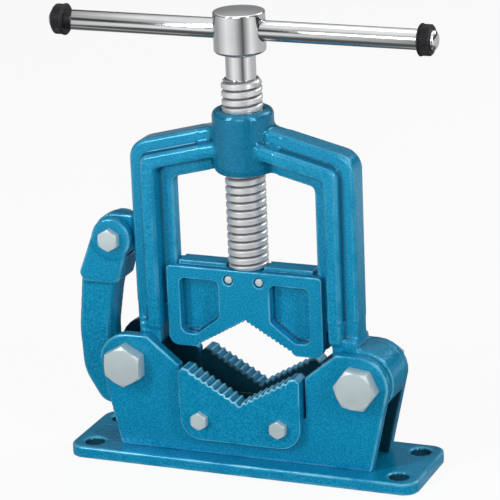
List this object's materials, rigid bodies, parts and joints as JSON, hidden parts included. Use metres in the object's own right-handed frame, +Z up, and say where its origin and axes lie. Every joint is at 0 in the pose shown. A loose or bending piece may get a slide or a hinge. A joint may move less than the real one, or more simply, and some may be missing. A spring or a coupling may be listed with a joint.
{
  "type": "hinged yoke pipe vise",
  "caption": "Bench pipe vise: a hinged yoke with a screw spindle drives a toothed V jaw down between toothed lower jaws, and a swinging hook holds the yoke shut.",
  "frame": {"origin": "middle of the foot plate's underside", "axes": "+X along the foot plate towards the hinge bolt, -Y towards the user, +Z up along the spindle"},
  "size_m": [0.2006, 0.055, 0.231],
  "materials": {
    "blue_enamel": "gloss hammered enamel",
    "zinc": "zinc plated",
    "bright_steel": "polished",
    "black_rubber": "matt, ribbed"
  },
  "bodies": {
    "base": {"base_plate": "blue_enamel", "front_cheek": "blue_enamel", "rear_cheek": "blue_enamel", "front_jaw": "blue_enamel", "rear_jaw": "blue_enamel", "front_jaw_screw_left": "zinc", "front_jaw_screw_right": "zinc", "rear_jaw_screw_left": "zinc", "rear_jaw_screw_right": "zinc", "hinge_bolt": "zinc", "hinge_nut": "zinc", "latch_bolt": "zinc", "latch_nut": "zinc"},
    "yoke": {"yoke": "blue_enamel"},
    "hook": {"latch_hook": "blue_enamel", "hook_pivot_bolt": "zinc", "hook_pivot_nut": "zinc"},
    "jaw": {"upper_jaw": "blue_enamel", "retaining_pin_left": "zinc", "retaining_pin_right": "zinc"},
    "spindle": {"spindle": "bright_steel"},
    "handle": {"handle_bar": "bright_steel", "end_ring_left": "black_rubber", "end_ring_right": "black_rubber"}
  },
  "joints": [
    {"name": "yoke_swing", "type": "hinge", "parent": "base", "child": "yoke", "pos_m": [0.0615, 0, 0.05], "axis": [0, 1, 0], "range_deg": [0, 90]},
    {"name": "hook_swing", "type": "hinge", "parent": "yoke", "child": "hook", "pos_m": [-0.07, 0, 0.1125], "axis": [0, 1, 0], "range_deg": [0, 100]},
    {"name": "jaw_slide", "type": "slide", "parent": "yoke", "child": "jaw", "axis": [0, 0, 1], "range_m": [-0.0275, 0.0355]},
    {"name": "screw_turn", "type": "hinge", "parent": "jaw", "child": "spindle", "pos_m": [0, 0, 0.15], "axis": [0, 0, 1], "range_deg": [-2430, 3150]},
    {"name": "bar_slide", "type": "slide", "parent": "spindle", "child": "handle", "axis": [1, 0, 0], "range_m": [-0.07, 0.07]}
  ],
  "couplings": [
    {"joint": "jaw_slide", "follows": "screw_turn", "m_per_rad": 0.00063662}
  ]
}
